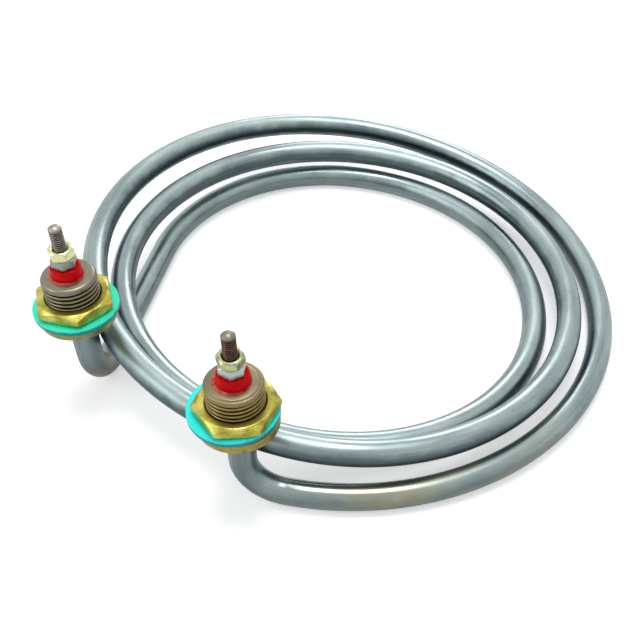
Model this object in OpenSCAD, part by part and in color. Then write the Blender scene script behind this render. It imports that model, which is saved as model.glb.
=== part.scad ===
// Coiled tubular immersion heating element with two threaded wall fittings.
// Units are millimetres. The origin is the centre of the two-hole wall pattern, on the
// sealing plane of the fittings. +X runs from the left fitting to the right one and
// +Z along both fittings, away from the coil.

/* [Tube] */
// Outer diameter of the metal sheath
tube_d = 8.5; // [7.5:0.1:9]
// Wall of the metal sheath
tube_wall = 0.8; // [0.5:0.1:1]
// Outer diameter of the resistance winding inside the sheath
winding_d = 3.6; // [3.4:0.1:3.8]
// Thickness of the resistance winding
winding_wall = 0.8; // [0.6:0.1:1]

/* [Coil] */
// Bend radius that the evenly wound spiral would start with
coil_r = 93; // [90:0.5:105]
// How much smaller each quarter turn of that spiral is than the one before
quarter_step = 2.6; // [2.4:0.1:2.8]
// How far the first turn has sprung from the even spiral: front, right, back, left
spring_1 = [-2, 5.5, 0, 6]; // [-10:0.5:12]
// The same for the second turn
spring_2 = [-2.5, 2.5, 0.5, 2.5]; // [-10:0.5:12]
// The same for the third turn, which ends at the back
spring_3 = [0, 10.5, -3.5]; // [-10:0.5:12]
// Straight run from the right leg to the first bend
entry_run = 2.5; // [1:0.5:10]
// Straight run from the last bend to the left leg
exit_run = 58; // [52:0.5:64]
// Height of the first turn at its left side, above the lowest turn
lift_first_left = 20.6; // [19:0.2:26]
// Height of the second turn at its right side
lift_second_right = 5.6; // [0:0.2:9]
// Height of the second turn at its left side
lift_second_left = 13.8; // [10:0.2:16]

/* [Legs] */
// Bend radius from the coil up into each leg
leg_r = 13; // [11:0.5:15]
// Straight leg between that bend and the flange
leg_run = 16.75; // [12:0.25:24]

/* [Fitting] */
// Thread diameter of the nipple
nipple_d = 16.7; // [16:0.1:17.5]
// Height of the nipple above the flange
nipple_h = 13.4; // [11:0.2:20]
// Pitch of the nipple thread
nipple_pitch = 1.5; // [1:0.25:2]
// Depth of the nipple thread
nipple_thread_depth = 0.7; // [0.3:0.05:0.9]
// Radius that rounds the top edge of the nipple
nipple_edge = 0.8; // [0.3:0.1:1.2]
// Plain land between that edge and the first thread groove
nipple_land = 0.7; // [0.3:0.1:2]
// Diameter of the flange
flange_d = 24; // [22:0.5:28]
// Thickness of the flange
flange_t = 3; // [2:0.25:5]
// Width of the braze fillet where the tube enters the flange
braze_w = 1.4; // [0.6:0.1:2.5]

/* [Clamp nut] */
// Width across the flats
clamp_af = 22; // [21:0.5:26]
// Thickness of the clamp nut
clamp_t = 4; // [3:0.25:5]
// Angle of one corner of the right clamp nut
right_clamp_angle = 45; // [0:1:59]
// Angle of one corner of the left clamp nut
left_clamp_angle = 25; // [0:1:59]

/* [Gasket] */
// Outer diameter of the gasket
gasket_d = 26.4; // [25.6:0.1:30]
// Gap all round between the nipple and the hole of the gasket
gasket_play = 1.7; // [1.6:0.1:2]
// Thickness of the gasket
gasket_t = 2; // [1:0.25:2.5]
// How far the right gasket has slipped to one side
right_gasket_slip = 1.45; // [0:0.05:1.45]
// Direction in which the right gasket has slipped
right_gasket_angle = 177; // [0:1:359]

/* [Insulator] */
// Diameter of the insulating bush at its foot
bush_foot_d = 10.3; // [9.5:0.1:12]
// Diameter of the insulating bush at its top
bush_top_d = 9.2; // [8:0.1:9.4]
// Height of the insulating bush
bush_h = 3.6; // [3:0.2:8]
// Radius that rounds the top edge of the bush
bush_edge = 0.5; // [0.2:0.1:0.8]
// Depth of the seal that closes each end of the tube
seal_h = 2; // [1:0.5:4]

/* [Terminal pin] */
// Diameter of the terminal pin and of its thread
pin_d = 4; // [3.6:0.1:4.2]
// How far the pin's thread stands above the bush
stud_h = 14; // [13:0.5:20]
// Pitch of the pin's thread
stud_pitch = 0.7; // [0.5:0.05:0.8]
// Depth of the pin's thread
stud_thread_depth = 0.35; // [0.15:0.05:0.4]
// Height of the domed tip
tip_h = 0.9; // [0.4:0.1:1.2]
// Plain land between the tip and the first thread groove
stud_land = 0.8; // [0.4:0.1:1.5]
// How far the resistance winding reaches up each leg
winding_rise = 6; // [2:0.5:10]
// How far the pin's spigot reaches down into the winding
spigot_h = 5; // [2:0.5:8]

/* [Terminal nuts] */
// Width across the flats
nut_af = 7; // [6.8:0.1:8]
// Thickness of each terminal nut
nut_t = 3.2; // [2.4:0.1:4]
// Diameter of the countersink at both ends of the nut's hole
nut_sink_d = 5.3; // [4.7:0.1:5.8]
// Angle of one corner of the right lower nut
right_lower_angle = 7; // [0:1:59]
// Angle of one corner of the right upper nut
right_upper_angle = 37; // [0:1:59]
// Angle of one corner of the left lower nut
left_lower_angle = 12; // [0:1:59]
// Angle of one corner of the left upper nut
left_upper_angle = 40; // [0:1:59]

/* [Fits] */
// Gap all round a piece that is brazed, pressed or packed into another
seat_gap = 0.03; // [0.01:0.01:0.05]
// Gap all round between a thread and the hole of its nut
thread_gap = 0.06; // [0.03:0.01:0.1]
// Share of the thread pitch that the flat crest takes
crest_share = 0.35; // [0.25:0.05:0.5]
// Slope of the chamfer on the corners of every nut, in degrees
nut_chamfer = 30; // [20:1:40]

/* [Hidden] */
$fn = 96;

// Radius of each quarter turn, from the right leg inwards
spring = concat(spring_1, spring_2, spring_3);
quarter_r = [for (i = [0:len(spring) - 1]) coil_r - quarter_step * i + spring[i]];

// Height of the centreline where each half turn starts and ends
level = [0, lift_first_left, lift_second_right, lift_second_left, 0, 0];
half_turns = len(level) - 1;
function near_r(k) = quarter_r[2 * k + 1];
function far_r(k) = quarter_r[2 * k + 2];
function half_w(k) = near_r(k) + far_r(k);
// Slope of half turn k, and the roll that brings the tube from the slope before it
function slope(k) = asin((level[k + 1] - level[k]) / half_w(k));
function roll_into(k) = k == 0 ? slope(0) : slope(k) + slope(k - 1);

// Heights, from the sealing plane
flange_bottom = -flange_t;
leg_foot = flange_bottom - leg_run;
coil_base = leg_foot - leg_r;
clamp_z = gasket_t;
nipple_top = nipple_h;
bush_top = nipple_top + bush_h;
upper_nut_z = bush_top + nut_t;
stud_top = bush_top + stud_h;
winding_top = leg_foot + winding_rise;
fill_top = nipple_top - seal_h;

// From the right leg to the left leg in the coil's own frame, where the tube leaves
// the right leg along +Y and bends towards -X
function side(k) = k % 2 == 0 ? -1 : 1;
function sum(v, i = 0) = i < len(v) ? v[i] + sum(v, i + 1) : 0;
step_x = [for (k = [0:half_turns - 1]) side(k) * (near_r(k) - far_r(k))];
step_y = [for (k = [0:half_turns - 1]) side(k) * half_w(k) * cos(slope(k))];
left_x = -quarter_r[0] + sum(step_x) + exit_run + leg_r;
left_y = leg_r + entry_run + quarter_r[0] + sum(step_y);
leg_gap = norm([left_x, left_y]);
coil_turn = 180 - atan2(left_y, left_x);

// Bores and bodies that fit one another
sheath_bore_d = tube_d - 2 * tube_wall;
core_d = max(winding_d, pin_d) + 2 * seat_gap;
winding_bore_d = winding_d - 2 * winding_wall;
clamp_bore_d = nipple_d + 2 * thread_gap;
nut_bore_d = pin_d + 2 * thread_gap;
gasket_hole_d = nipple_d + 2 * gasket_play;

hexagon_flat = cos(180 / 6);

// --- Sections and shapes -------------------------------------------------------------

// Ring between two diameters, with nothing inside when the inner one is 0
module ring(outer_d, inner_d) {
    difference() {
        circle(d = outer_d);
        if (inner_d > 0) circle(d = inner_d);
    }
}

// Straight stretch of the section, along +Y
module run(length) {
    rotate([-90, 0, 0])
        linear_extrude(length)
            children();
}

// Quarter bend of the section: starts along +Y and turns towards -X
module bend(r) {
    translate([-r, 0, 0])
        rotate_extrude(angle = 90)
            translate([r, 0]) children();
}

// Rolls what follows about the tube, in two even halves whose cosines have six decimals,
// so that the end circles of two neighbouring bends stay the same size
module roll(angle) {
    half = sign(angle) * acos(round(cos(angle / 2) * 1e6) / 1e6);
    rotate([0, half, 0]) rotate([0, half, 0]) children();
}

// Steps of a bent tube: [roll about the tube, quarter roll, bend radius, straight after it]
module bent(steps, i = 0) {
    if (i < len(steps)) {
        r = steps[i][2];
        length = steps[i][3];
        rotate([0, steps[i][1], 0]) roll(steps[i][0]) {
            bend(r) children();
            translate([-r, r, 0]) rotate([0, 0, 90]) {
                if (length > 0) run(length) children();
                translate([0, length, 0]) bent(steps, i + 1) children();
            }
        }
    }
}

// The section swept from the top of one leg, round the coil, to the top of the other
module along_element(top) {
    up = top - leg_foot;
    coil = [for (k = [0:half_turns - 1]) each
        [[roll_into(k), 0, near_r(k), 0],
         [0, 0, far_r(k), k == half_turns - 1 ? exit_run : 0]]];
    out = [[slope(half_turns - 1), 90, leg_r, up]];
    rotate([0, 0, coil_turn])
        translate([-left_x / 2, leg_r - left_y / 2, coil_base]) {
            rotate([0, 0, 180]) bent([[0, 90, leg_r, up]]) children();
            run(entry_run) children();
            translate([0, entry_run, 0])
                bent(concat([[0, 0, quarter_r[0], 0]], coil, out)) children();
        }
}

// Places a piece on the axis of the right (1) or left (-1) leg
module at_leg(hand) {
    translate([hand * leg_gap / 2, 0, 0]) children();
}

// Half outline of a thread: V grooves with flat crests between them, the last groove
// ending at z1 and the first one starting above z0
function thread_outline(d, pitch, depth, z0, z1) =
    let (open = pitch * (1 - crest_share), last = floor((z1 - open - z0) / pitch))
    [for (i = [last:-1:0]) each
        let (z = z1 - open - i * pitch)
        [[d / 2, z], [d / 2 - depth, z + open / 2], [d / 2, z + open]]];

// Points of a quarter circle that rounds an outer top corner
function rounded(x, z, r) =
    [for (a = [0:15:90]) [x - r + r * cos(a), z - r + r * sin(a)]];

// Hexagon nut with chamfered corners on both faces
module hex_nut(af, t, bore_d, sink_d) {
    corner_r = af / 2 / hexagon_flat;
    drop = (corner_r - af / 2) * tan(nut_chamfer);
    sink = (sink_d - bore_d) / 2;
    difference() {
        intersection() {
            cylinder(r = corner_r, h = t, $fn = 6);
            rotate_extrude() polygon([[0, 0], [af / 2, 0], [corner_r, drop],
                [corner_r, t - drop], [af / 2, t], [0, t]]);
        }
        translate([0, 0, -1]) cylinder(d = bore_d, h = t + 2);
        if (sink > 0) {
            translate([0, 0, -sink]) cylinder(d1 = sink_d + 2 * sink, d2 = bore_d, h = 2 * sink);
            translate([0, 0, t - sink]) cylinder(d1 = bore_d, d2 = sink_d + 2 * sink, h = 2 * sink);
        }
    }
}

// --- The bent element ----------------------------------------------------------------

// Metal tube, one piece from the top of one nipple to the top of the other
module heating_sheath() {
    color("#9aa3a8") along_element(nipple_top) ring(tube_d, sheath_bore_d);
}

// Pressed magnesia that holds the winding in the middle of the sheath
module magnesia_fill() {
    color("#e9e4d6") along_element(fill_top) ring(sheath_bore_d - 2 * seat_gap, core_d);
}

// Resistance wire, drawn as the tube that its close turns make
module resistance_winding() {
    color("#6b6460") along_element(winding_top) ring(winding_d, winding_bore_d);
}

// --- Pieces of one fitting -----------------------------------------------------------

// Flange and threaded nipple, turned from one bar
module fitting() {
    land_z = nipple_top - nipple_edge - nipple_land;
    difference() {
        rotate_extrude() polygon(concat(
            [[0, flange_bottom], [flange_d / 2, flange_bottom], [flange_d / 2, 0],
             [nipple_d / 2, 0]],
            thread_outline(nipple_d, nipple_pitch, nipple_thread_depth, clamp_z, land_z),
            rounded(nipple_d / 2, nipple_top, nipple_edge),
            [[0, nipple_top]]));
        translate([0, 0, flange_bottom - 1])
            cylinder(d = tube_d + 2 * seat_gap, h = nipple_top - flange_bottom + 2);
    }
}

// Braze fillet under the flange
module braze() {
    inner = tube_d / 2 + seat_gap;
    translate([0, 0, flange_bottom])
        rotate_extrude() polygon([[inner, 0], [inner + braze_w, 0], [inner, -braze_w]]);
}

// Flat round gasket
module gasket() {
    difference() {
        cylinder(d = gasket_d, h = gasket_t);
        translate([0, 0, -1]) cylinder(d = gasket_hole_d, h = gasket_t + 2);
    }
}

// Wide thin nut that clamps the wall
module clamp_nut(angle) {
    translate([0, 0, clamp_z]) rotate([0, 0, angle])
        hex_nut(clamp_af, clamp_t, clamp_bore_d, clamp_bore_d);
}

// Seal that closes the end of the tube round the pin
module end_seal() {
    translate([0, 0, fill_top]) difference() {
        cylinder(d = sheath_bore_d - 2 * seat_gap, h = seal_h);
        translate([0, 0, -1]) cylinder(d = pin_d + 2 * seat_gap, h = seal_h + 2);
    }
}

// Insulating bush between the nipple and the terminal nuts
module bush() {
    difference() {
        translate([0, 0, nipple_top])
            rotate_extrude() polygon(concat([[0, 0], [bush_foot_d / 2, 0]],
                rounded(bush_top_d / 2, bush_h, bush_edge), [[0, bush_h]]));
        translate([0, 0, nipple_top - 1])
            cylinder(d = pin_d + 2 * seat_gap, h = bush_h + 2);
    }
}

// Terminal pin: spigot in the winding, plain shank, threaded stud and domed tip
module pin() {
    spigot_r = winding_bore_d / 2 - seat_gap;
    land_z = stud_top - tip_h - stud_land;
    dome_r = (pow(pin_d / 2, 2) + pow(tip_h, 2)) / (2 * tip_h);
    half_angle = asin(pin_d / 2 / dome_r);
    rotate_extrude() polygon(concat(
        [[0, winding_top - spigot_h], [spigot_r, winding_top - spigot_h],
         [spigot_r, winding_top], [pin_d / 2, winding_top]],
        thread_outline(pin_d, stud_pitch, stud_thread_depth, bush_top, land_z),
        [for (s = [0:0.25:1]) let (a = half_angle * (1 - s))
            [dome_r * sin(a), stud_top - dome_r + dome_r * cos(a)]]));
}

// Small hexagon nut on the stud, with its foot at height z
module terminal_nut(z, angle) {
    translate([0, 0, z]) rotate([0, 0, angle])
        hex_nut(nut_af, nut_t, nut_bore_d, nut_sink_d);
}

// --- The two fittings, piece by piece ------------------------------------------------

module right_fitting() { color("#b08d4a") at_leg(1) fitting(); }
module left_fitting() { color("#a5a29a") at_leg(-1) fitting(); }
module right_braze() { color("#c9b37a") at_leg(1) braze(); }
module left_braze() { color("#c9b37a") at_leg(-1) braze(); }
module right_gasket() {
    slip = right_gasket_slip * [cos(right_gasket_angle), sin(right_gasket_angle), 0];
    color("#19a6b5") at_leg(1) translate(slip) gasket();
}
module left_gasket() { color("#1fa898") at_leg(-1) gasket(); }
module right_clamp_nut() { color("#b9a45c") at_leg(1) clamp_nut(right_clamp_angle); }
module left_clamp_nut() { color("#b9a45c") at_leg(-1) clamp_nut(left_clamp_angle); }
module right_end_seal() { color("#d8693a") at_leg(1) end_seal(); }
module left_end_seal() { color("#d8693a") at_leg(-1) end_seal(); }
module right_bush() { color("#b3262b") at_leg(1) bush(); }
module left_bush() { color("#b3262b") at_leg(-1) bush(); }
module right_pin() { color("#8a5a3c") at_leg(1) pin(); }
module left_pin() { color("#8c8f92") at_leg(-1) pin(); }
module right_lower_nut() {
    color("#b9c3c4") at_leg(1) terminal_nut(bush_top, right_lower_angle);
}
module left_lower_nut() {
    color("#a9aca6") at_leg(-1) terminal_nut(bush_top, left_lower_angle);
}
module right_upper_nut() {
    color("#b9b45e") at_leg(1) terminal_nut(upper_nut_z, right_upper_angle);
}
module left_upper_nut() {
    color("#d9cfa8") at_leg(-1) terminal_nut(upper_nut_z, left_upper_angle);
}

// --- Nodes ---------------------------------------------------------------------------

heating_sheath();
magnesia_fill();
resistance_winding();
right_fitting();
right_braze();
right_gasket();
right_clamp_nut();
right_end_seal();
right_bush();
right_pin();
right_lower_nut();
right_upper_nut();
left_fitting();
left_braze();
left_gasket();
left_clamp_nut();
left_end_seal();
left_bush();
left_pin();
left_lower_nut();
left_upper_nut();
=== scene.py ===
# %% [markdown]
# # Coiled immersion heating element
# A sealed metal tube is wound into three loose turns. Each end of it stands up into a
# brass wall fitting with a gasket and a clamp nut, and out of each fitting comes a red
# bush with a threaded terminal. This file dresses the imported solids: it gives them real
# threads, soft edges and the finish that each metal and rubber has.

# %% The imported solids, loaded as a fixed frame
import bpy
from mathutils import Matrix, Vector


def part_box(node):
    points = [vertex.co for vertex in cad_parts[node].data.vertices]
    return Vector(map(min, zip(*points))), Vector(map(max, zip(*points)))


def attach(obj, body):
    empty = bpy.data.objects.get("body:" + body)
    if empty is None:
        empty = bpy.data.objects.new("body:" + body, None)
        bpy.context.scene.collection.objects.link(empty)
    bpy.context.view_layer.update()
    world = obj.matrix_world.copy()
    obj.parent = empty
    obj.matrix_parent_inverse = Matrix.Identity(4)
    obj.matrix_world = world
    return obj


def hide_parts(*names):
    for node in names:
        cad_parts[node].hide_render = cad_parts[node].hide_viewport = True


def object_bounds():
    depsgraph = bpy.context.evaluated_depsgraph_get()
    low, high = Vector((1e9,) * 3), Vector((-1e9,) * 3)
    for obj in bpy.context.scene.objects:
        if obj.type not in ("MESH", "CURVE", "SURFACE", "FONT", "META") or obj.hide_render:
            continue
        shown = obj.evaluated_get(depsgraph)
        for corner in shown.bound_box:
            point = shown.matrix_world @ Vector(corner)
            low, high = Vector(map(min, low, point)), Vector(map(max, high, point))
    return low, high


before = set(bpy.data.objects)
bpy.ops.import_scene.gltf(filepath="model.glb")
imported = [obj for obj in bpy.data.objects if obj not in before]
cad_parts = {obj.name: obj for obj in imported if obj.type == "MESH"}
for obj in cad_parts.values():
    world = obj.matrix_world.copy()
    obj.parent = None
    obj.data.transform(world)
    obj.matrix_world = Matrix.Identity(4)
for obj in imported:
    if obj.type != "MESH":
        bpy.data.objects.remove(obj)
print(len(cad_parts), "packed solids")

# %% Libraries, the unit and the box of the solids
import math

import bmesh
import bpy
from mathutils import Matrix, Vector, noise

MM = 0.001
cad_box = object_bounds()
bpy.context.scene.view_settings.view_transform = "Standard"
print("box of the solids in mm:", [[round(c / MM, 1) for c in corner] for corner in cad_box])

# %% [markdown]
# ## One function for every node
# Colours are written as the hex values that a painter reads off a screen, and a shader
# wants them linear. One function adds any node with its settings and links, which keeps
# each material short enough to read as a recipe. A colour mix has its factor on socket 0,
# its two colours on 6 and 7, and the mixed colour on output 2. A Blender object shows only
# once it is linked to the scene, so the first helper always does both.

# %% Helpers for objects, colours and nodes
def placed(name, data):
    """A new object in the scene for a mesh, a lamp or a camera."""
    made = bpy.data.objects.new(name, data)
    bpy.context.scene.collection.objects.link(made)
    return made


def linear(hex_colour):
    """Linear RGBA of an sRGB hex colour such as '#9aa7a8'."""
    values = [int(hex_colour[i:i + 2], 16) / 255 for i in (1, 3, 5)]
    return [v / 12.92 if v <= 0.04045 else ((v + 0.055) / 1.055) ** 2.4 for v in values] + [1.0]


def connect(tree, made, inputs):
    """Fills sockets, each with a value, a hex colour, a socket or a node's first output."""
    for key, value in inputs.items():
        if isinstance(value, bpy.types.Node):
            value = value.outputs[0]
        if isinstance(value, bpy.types.NodeSocket):
            tree.links.new(value, made.inputs[key])
        elif isinstance(value, str) and value.startswith("#"):
            made.inputs[key].default_value = linear(value)
        else:
            made.inputs[key].default_value = value


def node(tree, kind, inputs=None, stops=(), **settings):
    """Adds a node. stops are the (position, hex colour or grey value) pairs of a ramp."""
    made = tree.nodes.new(kind)
    for key, value in settings.items():
        setattr(made, key, value)
    connect(tree, made, inputs or {})
    if stops:
        points = made.color_ramp.elements
        while len(points) < len(stops):
            points.new(0.5)
        for point, (position, colour) in zip(points, stops):
            point.position = position
            point.color = linear(colour) if isinstance(colour, str) else [colour] * 3 + [1.0]
    return made


print("helpers ready")

# %% [markdown]
# ## The camera
# The camera stands where the eye of the viewer would be, a hand's length above the
# terminals. A lens of about 50 mm so close to the part makes the near fitting large. It
# comes first, so that everything after it can be checked in the same view.

# %% Camera
AIM = Vector((37.1, 43.9, -37.0)) * MM
VIEW_AZIMUTH = math.radians(38.9)
VIEW_ELEVATION = math.radians(48.7)
VIEW_ROLL = math.radians(0.7)
VIEW_DISTANCE = 299 * MM
FOCAL_PIXELS = 897
FRAME_PIXELS = 640
CENTRE_PIXEL = (344, 415.5)

camera = placed("camera", bpy.data.cameras.new("camera"))
bpy.context.scene.camera = camera
back = Vector((
    math.sin(VIEW_AZIMUTH) * math.cos(VIEW_ELEVATION),
    -math.cos(VIEW_AZIMUTH) * math.cos(VIEW_ELEVATION),
    math.sin(VIEW_ELEVATION)))
turn = (Matrix.Rotation(VIEW_AZIMUTH, 4, "Z")
        @ Matrix.Rotation(math.pi / 2 - VIEW_ELEVATION, 4, "X")
        @ Matrix.Rotation(VIEW_ROLL, 4, "Z"))
camera.matrix_world = Matrix.Translation(AIM + back * VIEW_DISTANCE) @ turn
camera.data.sensor_width = 36
camera.data.lens = FOCAL_PIXELS / FRAME_PIXELS * camera.data.sensor_width
camera.data.shift_x = (FRAME_PIXELS / 2 - CENTRE_PIXEL[0]) / FRAME_PIXELS
camera.data.shift_y = (CENTRE_PIXEL[1] - FRAME_PIXELS / 2) / FRAME_PIXELS
camera.data.clip_start = 0.01
print("camera at", [round(c / MM) for c in camera.location], "mm, lens", round(camera.data.lens, 1))

# %% [markdown]
# ## Floor and light
# Bare metal shows its surroundings more than its own colour. So the room is plain and
# white to the camera and in reflections, while the light that falls on the part comes
# from a dimmer sky and three large soft lamps. The table top glows a little when it is
# seen directly: open stretches of it turn white, and only the deep shadow under the part
# is left. The lamp behind the coil draws the bright line along the far turns.

# %% A level that depends on the kind of ray
def by_ray(tree, camera_level, mirror_level):
    """One level for rays from the camera, one for those off shiny or clear surfaces, else 0."""
    path = node(tree, "ShaderNodeLightPath").outputs
    mirrored = node(tree, "ShaderNodeMath", {
        0: path["Is Glossy Ray"], 1: path["Is Transmission Ray"]}, operation="MAXIMUM")
    mirrored = node(tree, "ShaderNodeMath", {0: mirrored, 1: mirror_level}, operation="MULTIPLY")
    return node(tree, "ShaderNodeMath", {
        0: path["Is Camera Ray"], 1: camera_level, 2: mirrored}, operation="MULTIPLY_ADD")


print("level by ray ready")

# %% The table top
FLOOR_HALF = 4.0
# The glow grows between these two distances from the part's origin, in metres
NEAR, FAR = 0.25, 0.9
GLOW_NEAR = 0.44
GLOW_FAR = 0.6
GLOW_MIRRORED = 0.15
floor_z = cad_box[0].z
floor_mesh = bpy.data.meshes.new("floor")
floor_mesh.from_pydata(
    [(-FLOOR_HALF, -FLOOR_HALF, floor_z), (FLOOR_HALF, -FLOOR_HALF, floor_z),
     (FLOOR_HALF, FLOOR_HALF, floor_z), (-FLOOR_HALF, FLOOR_HALF, floor_z)], [], [(0, 1, 2, 3)])
placed("floor", floor_mesh)

floor_paint = bpy.data.materials.new("white_table_top")
floor_paint.use_nodes = True
tree = floor_paint.node_tree
paint = tree.nodes["Principled BSDF"]
connect(tree, paint, {"Base Color": "#f7f8f8", "Roughness": 0.75, "Specular IOR Level": 0.2})
place = node(tree, "ShaderNodeTexCoord").outputs["Object"]
away = node(tree, "ShaderNodeVectorMath", {0: place}, operation="LENGTH").outputs["Value"]
level = node(tree, "ShaderNodeMapRange", {0: away, 1: NEAR, 2: FAR, 3: GLOW_NEAR, 4: GLOW_FAR})
glow = node(tree, "ShaderNodeEmission", {
    "Color": "#ffffff", "Strength": by_ray(tree, level.outputs[0], GLOW_MIRRORED)})
both = node(tree, "ShaderNodeAddShader", {0: paint, 1: glow})
connect(tree, tree.nodes["Material Output"], {"Surface": both})
floor_mesh.materials.append(floor_paint)
print("floor at", round(floor_z / MM, 1), "mm")

# %% The white room
world = bpy.data.worlds.new("white_room")
bpy.context.scene.world = world
world.use_nodes = True
tree = world.node_tree
tree.nodes.clear()
sky = node(tree, "ShaderNodeBackground", {"Color": "#f4f6f7", "Strength": 0.5})
wall = node(tree, "ShaderNodeBackground", {"Color": "#ffffff", "Strength": 1.0})
both = node(tree, "ShaderNodeMixShader", {0: by_ray(tree, 1, 1), 1: sky, 2: wall})
node(tree, "ShaderNodeOutputWorld", {0: both})
print("room ready")

# %% Three soft lamps
view_right = Vector((math.cos(VIEW_AZIMUTH), math.sin(VIEW_AZIMUTH), 0))
view_away = Vector((-math.sin(VIEW_AZIMUTH), math.cos(VIEW_AZIMUTH), 0))
up = Vector((0, 0, 1))


def soft_lamp(name, right, away, height, size, power):
    """A square area lamp that faces the middle of the coil, placed from there in metres."""
    data = bpy.data.lights.new(name, "AREA")
    data.size = size
    data.energy = power
    lamp = placed(name, data)
    middle = (cad_box[0] + cad_box[1]) / 2
    from_middle = view_right * right + view_away * away + up * height
    lamp.location = middle + from_middle
    lamp.rotation_euler = (-from_middle).to_track_quat("-Z", "Y").to_euler()


soft_lamp("lamp_overhead", 0.0, 0.08, 1.0, 0.5, 4.4)
soft_lamp("lamp_behind", 0.15, 0.95, 0.4, 0.35, 2.0)
soft_lamp("lamp_left", -0.9, -0.25, 0.6, 0.6, 2.2)
print("3 lamps")

# %% [markdown]
# ## The route of the tube
# The coil is not a neat helix: every quarter turn has its own radius, because the tube
# sprang a little when it left the winding tool, and the first turn rides over the second
# on one side. A pen that only knows two moves, straight and quarter bend, walks the whole
# tube. Its sizes are those of the solids, and the two fittings say where it ends.

# %% Sizes of the coil, in mm
TUBE_D = 8.5
COIL_R = 93
QUARTER_STEP = 2.6
# How far each quarter turn sprang open or shut, and how high each half turn starts and ends
SPRING = [-2, 5.5, 0, 6, -2.5, 2.5, 0.5, 2.5, 0, 10.5, -3.5]
LEVEL = [0, 20.6, 5.6, 13.8, 0, 0]
LEG_R = 13
ENTRY_RUN = 2.5
EXIT_RUN = 58
quarter_r = [COIL_R - QUARTER_STEP * i + s for i, s in enumerate(SPRING)]
right_low, right_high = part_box("right_fitting")
left_low, left_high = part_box("left_fitting")
right_axis = (right_low + right_high) / 2 / MM
left_axis = (left_low + left_high) / 2 / MM
NIPPLE_TOP = right_high.z / MM
FLANGE_BOTTOM = right_low.z / MM
leg_foot = floor_z / MM + TUBE_D / 2 + LEG_R
leg_length = NIPPLE_TOP - leg_foot
print("quarter radii", [round(r, 1) for r in quarter_r], "legs", round(leg_length, 2))

# %% The pen that walks the tube
# Points lie this far apart in mm, and no further than an eighth of the radius in a tight bend
SPACING = 2.5
BEND_STEPS = 8


class Pen:
    """Walks a route of straights and quarter bends and keeps points along it, in mm."""

    def __init__(self, place, heading):
        self.points = [Vector(place)]
        self.heading = Vector(heading)

    def straight(self, length):
        start = self.points[-1]
        steps = max(1, math.ceil(length / SPACING))
        for i in range(1, steps + 1):
            self.points.append(start + self.heading * (length * i / steps))

    def bend(self, radius, towards):
        start, ahead = self.points[-1], self.heading
        steps = math.ceil(radius * math.pi / 2 / min(SPACING, radius / BEND_STEPS))
        for i in range(1, steps + 1):
            a = math.pi / 2 * i / steps
            self.points.append(
                start + ahead * (radius * math.sin(a)) + towards * (radius * (1 - math.cos(a))))
        self.heading = Vector(towards)


print("pen ready, a point every", SPACING, "mm")

# %% The walk from the right leg to the left one
def walk_tube():
    """The tube from the top of the right leg to the top of the left one, heading along +Y."""
    pen = Pen((0, 0, leg_length), -up)
    pen.straight(leg_length)
    pen.bend(LEG_R, Vector((0, 1, 0)))
    pen.straight(ENTRY_RUN)
    pen.bend(quarter_r[0], up.cross(pen.heading))
    for k in range(len(LEVEL) - 1):
        near, far = quarter_r[2 * k + 1], quarter_r[2 * k + 2]
        slope = math.asin((LEVEL[k + 1] - LEVEL[k]) / (near + far))
        ahead = Vector(pen.heading)
        sideways = up.cross(ahead) * math.cos(slope) + up * math.sin(slope)
        pen.bend(near, sideways)
        pen.bend(far, -ahead)
    pen.straight(EXIT_RUN)
    pen.bend(LEG_R, up)
    pen.straight(leg_length)
    return pen.points


walked = walk_tube()
span = walked[-1] - walked[0]
wanted = left_axis - right_axis
angle = math.atan2(wanted.y, wanted.x) - math.atan2(span.y, span.x)
spin = Matrix.Rotation(angle, 3, "Z")
start = Vector((right_axis.x, right_axis.y, leg_foot))
route = [(spin @ p + start) * MM for p in walked]
tube_length = sum((b - a).length for a, b in zip(route, route[1:]))
print("walked", round(tube_length, 3), "m; legs", round(span.length, 2), "mm apart, fittings",
      round(Vector((wanted.x, wanted.y)).length, 2))
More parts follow.
